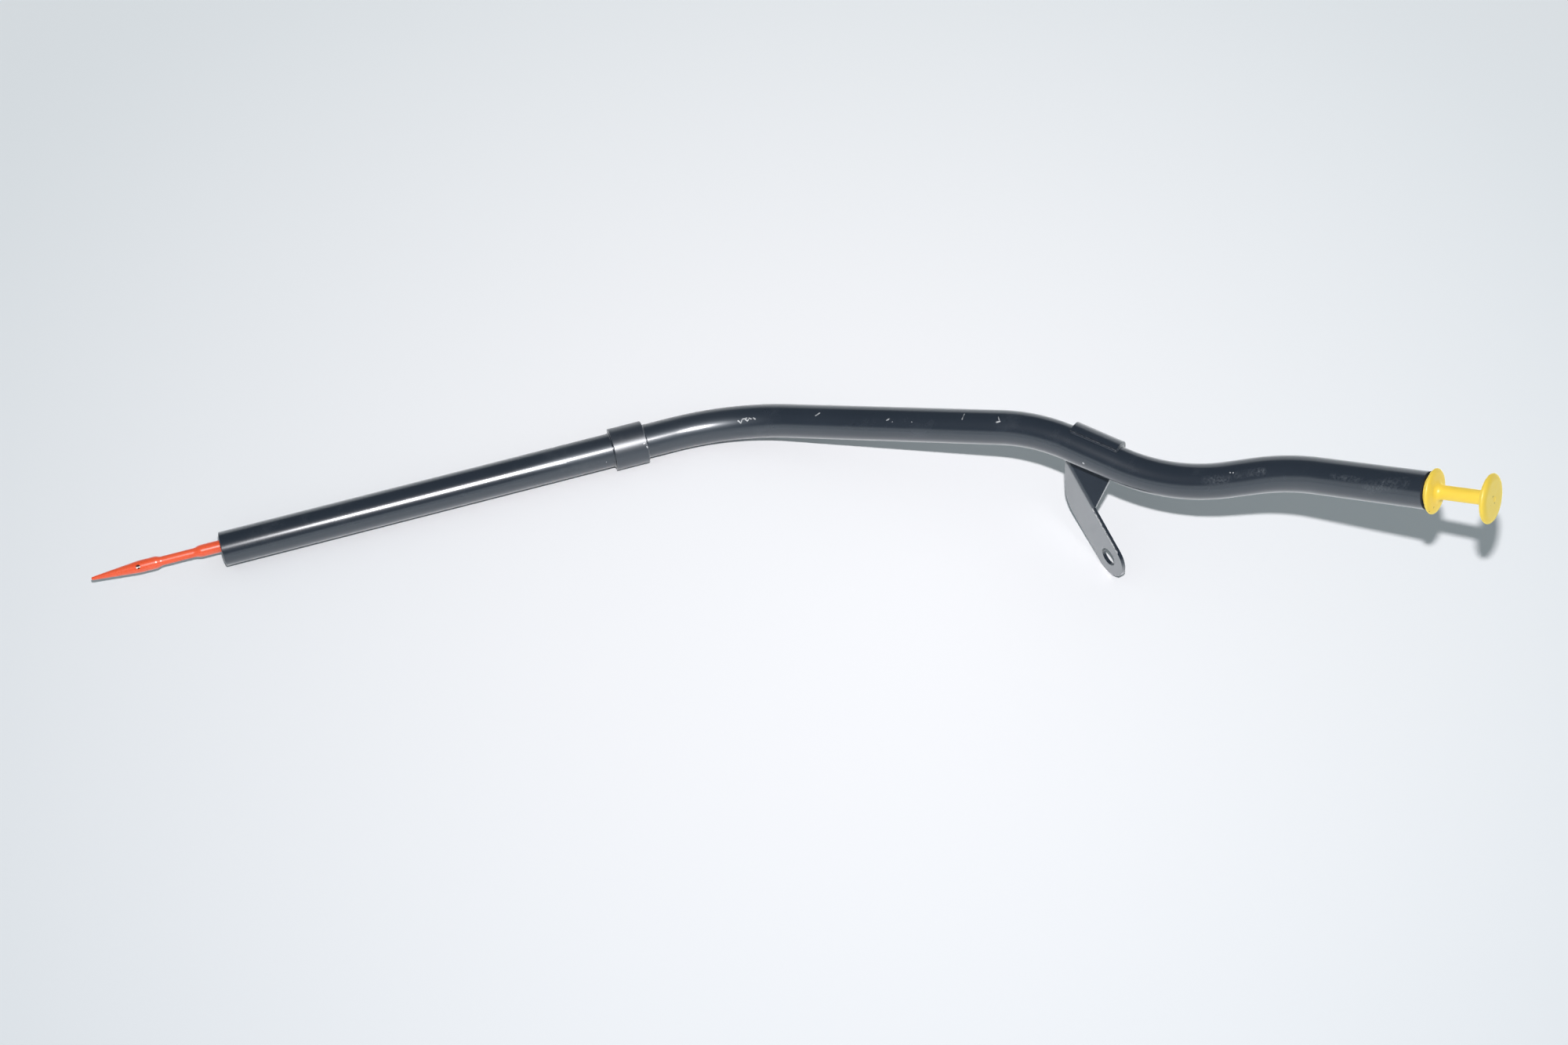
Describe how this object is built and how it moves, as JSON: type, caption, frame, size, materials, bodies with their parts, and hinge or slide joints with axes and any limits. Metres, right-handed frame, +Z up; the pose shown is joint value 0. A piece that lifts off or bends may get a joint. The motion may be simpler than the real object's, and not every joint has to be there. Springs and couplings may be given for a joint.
{
  "type": "engine oil dipstick",
  "caption": "Bent steel oil dipstick tube with a stop collar and folded bolt-on bracket; a pull handle plugs its mouth and a wire draws the moulded measuring tip into its lower end.",
  "frame": {"origin": "bottom centre of the whole part as it lies on a flat surface, on its collar and bracket foot", "axes": "+X along the part from the measuring tip to the handle, +Y to the back, +Z up"},
  "size_m": [0.6101, 0.1348, 0.1302],
  "materials": {
    "black_paint": "semi-gloss black paint on steel",
    "yellow_plastic": "satin moulded yellow plastic",
    "orange_plastic": "glossy moulded orange-red plastic",
    "seal_rubber": "matt black rubber",
    "wire_steel": "bright drawn steel wire"
  },
  "bodies": {
    "tube": {"guide_tube": "black_paint", "stop_collar": "black_paint", "bracket": "black_paint", "stick_cable": "wire_steel"},
    "handle": {"handle": "yellow_plastic", "seal_ring_upper": "seal_rubber", "seal_ring_lower": "seal_rubber"},
    "tip": {"tip": "orange_plastic"}
  },
  "joints": [
    {"name": "dipstick_pull", "type": "slide", "parent": "tube", "child": "handle", "axis": [0.7781, -0.4529, 0.4352], "range_m": [0, 0.06], "deforming": ["stick_cable"]},
    {"name": "tip_draw", "type": "slide", "parent": "tube", "child": "tip", "axis": [0.9532, 0.3024, 0], "range_m": [0, 0.06], "deforming": ["stick_cable"]}
  ],
  "couplings": [
    {"joint": "tip_draw", "follows": "dipstick_pull", "ratio": 1}
  ]
}
